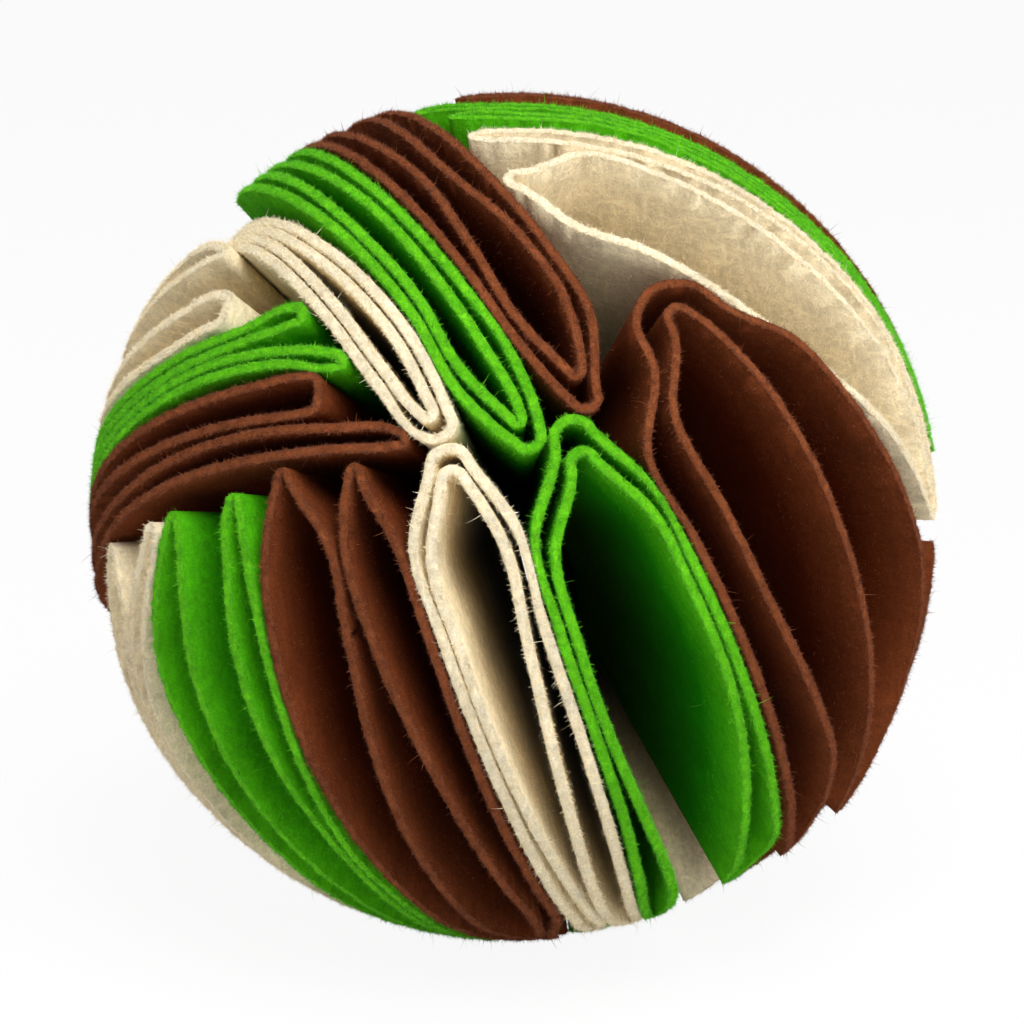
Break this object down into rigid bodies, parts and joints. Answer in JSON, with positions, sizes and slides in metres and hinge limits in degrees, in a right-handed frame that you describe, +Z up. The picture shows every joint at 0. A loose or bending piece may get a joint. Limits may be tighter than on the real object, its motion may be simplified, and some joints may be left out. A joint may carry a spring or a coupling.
{
  "type": "felt sniffing ball",
  "caption": "Round snuffle toy of folded felt discs tied by their corners at the middle, with deep pockets between the leaves for hiding dry treats.",
  "frame": {"origin": "Under the middle of the ball, on the surface that it rests on.", "axes": "+Z up, -Y toward the viewer of the picture, +X to the viewer's right. The ball lies tipped back 15 degrees, as pictured."},
  "size_m": [0.1498, 0.15, 0.1494],
  "materials": {
    "felt_cream": "matt needle felt",
    "felt_green": "matt needle felt",
    "felt_brown": "matt needle felt",
    "cord": "twisted cotton"
  },
  "bodies": {
    "ball": {"front_right_green": "felt_green", "front_right_brown": "felt_brown", "front_left_green": "felt_green", "front_left_cream": "felt_cream", "upper_left_brown": "felt_brown", "upper_left_green": "felt_green", "upper_middle_cream": "felt_cream", "upper_middle_green": "felt_green", "upper_right_cream": "felt_cream", "back_left_brown": "felt_brown", "upper_tie_cord": "cord", "lower_tie_cord": "cord", "joining_knot": "cord"},
    "front_right_cream": {"front_right_cream": "felt_cream"},
    "front_left_brown": {"front_left_brown": "felt_brown"},
    "upper_left_cream": {"upper_left_cream": "felt_cream"},
    "upper_middle_brown": {"upper_middle_brown": "felt_brown"},
    "upper_right_green": {"upper_right_green": "felt_green"},
    "upper_right_brown": {"upper_right_brown": "felt_brown"},
    "back_upper_cream": {"back_upper_cream": "felt_cream"},
    "back_upper_green": {"back_upper_green": "felt_green"},
    "back_upper_brown": {"back_upper_brown": "felt_brown"},
    "back_left_cream": {"back_left_cream": "felt_cream"},
    "back_left_green": {"back_left_green": "felt_green"},
    "back_right_green": {"back_right_green": "felt_green"},
    "back_right_cream": {"back_right_cream": "felt_cream"},
    "back_right_brown": {"back_right_brown": "felt_brown"}
  },
  "joints": [
    {"name": "front_right_cream_swing", "type": "hinge", "parent": "ball", "child": "front_right_cream", "pos_m": [0, 0, 0.0745], "axis": [0.966, -0.0329, 0.2564], "range_deg": [0, 2], "stiffness_Nm_per_rad": 0.3},
    {"name": "front_left_brown_swing", "type": "hinge", "parent": "ball", "child": "front_left_brown", "pos_m": [0, 0, 0.0745], "axis": [0.9135, -0.3431, 0.2188], "range_deg": [0, 2], "stiffness_Nm_per_rad": 0.3},
    {"name": "upper_left_cream_swing", "type": "hinge", "parent": "ball", "child": "upper_left_cream", "pos_m": [0, 0, 0.0745], "axis": [-0.3069, -0.3848, -0.8705], "range_deg": [-0.5, 3], "stiffness_Nm_per_rad": 0.3},
    {"name": "upper_middle_brown_swing", "type": "hinge", "parent": "ball", "child": "upper_middle_brown", "pos_m": [0, 0, 0.0745], "axis": [-0.8794, -0.3407, -0.3327], "range_deg": [0, 4], "stiffness_Nm_per_rad": 0.3},
    {"name": "upper_right_green_swing", "type": "hinge", "parent": "ball", "child": "upper_right_green", "pos_m": [0, 0, 0.0745], "axis": [-0.1643, 0.9511, 0.2617], "range_deg": [0, 6.5], "stiffness_Nm_per_rad": 0.3},
    {"name": "upper_right_brown_swing", "type": "hinge", "parent": "ball", "child": "upper_right_brown", "pos_m": [0, 0, 0.0745], "axis": [-0.3129, 0.9492, -0.0334], "range_deg": [-6, 8], "stiffness_Nm_per_rad": 0.3},
    {"name": "back_upper_cream_swing", "type": "hinge", "parent": "ball", "child": "back_upper_cream", "pos_m": [0, 0, 0.0745], "axis": [0.0021, 0.0442, -0.999], "range_deg": [-7.5, 7], "stiffness_Nm_per_rad": 0.3},
    {"name": "back_upper_green_swing", "type": "hinge", "parent": "ball", "child": "back_upper_green", "pos_m": [0, 0, 0.0745], "axis": [0.0077, 0.4534, -0.8913], "range_deg": [-11, 1.5], "stiffness_Nm_per_rad": 0.3},
    {"name": "back_upper_brown_swing", "type": "hinge", "parent": "ball", "child": "back_upper_brown", "pos_m": [0, 0, 0.0745], "axis": [-0.054, 0.7258, -0.6857], "range_deg": [-11, 1], "stiffness_Nm_per_rad": 0.3},
    {"name": "back_left_cream_swing", "type": "hinge", "parent": "ball", "child": "back_left_cream", "pos_m": [0, 0, 0.0745], "axis": [-0.1061, -0.9726, -0.2067], "range_deg": [-3.5, 0.5], "stiffness_Nm_per_rad": 0.3},
    {"name": "back_left_green_swing", "type": "hinge", "parent": "ball", "child": "back_left_green", "pos_m": [0, 0, 0.0745], "axis": [-0.734, -0.6738, 0.0847], "range_deg": [-5, 0], "stiffness_Nm_per_rad": 0.3},
    {"name": "back_right_green_swing", "type": "hinge", "parent": "ball", "child": "back_right_green", "pos_m": [0, 0, 0.0745], "axis": [-0.9472, 0.0089, -0.3205], "range_deg": [-7, 1], "stiffness_Nm_per_rad": 0.3},
    {"name": "back_right_cream_swing", "type": "hinge", "parent": "ball", "child": "back_right_cream", "pos_m": [0, 0, 0.0745], "axis": [-0.7103, 0.5738, -0.4077], "range_deg": [-5.5, 1.5], "stiffness_Nm_per_rad": 0.3},
    {"name": "back_right_brown_swing", "type": "hinge", "parent": "ball", "child": "back_right_brown", "pos_m": [0, 0, 0.0745], "axis": [-0.0197, 0.9661, -0.2573], "range_deg": [-7.5, 0], "stiffness_Nm_per_rad": 0.3}
  ]
}
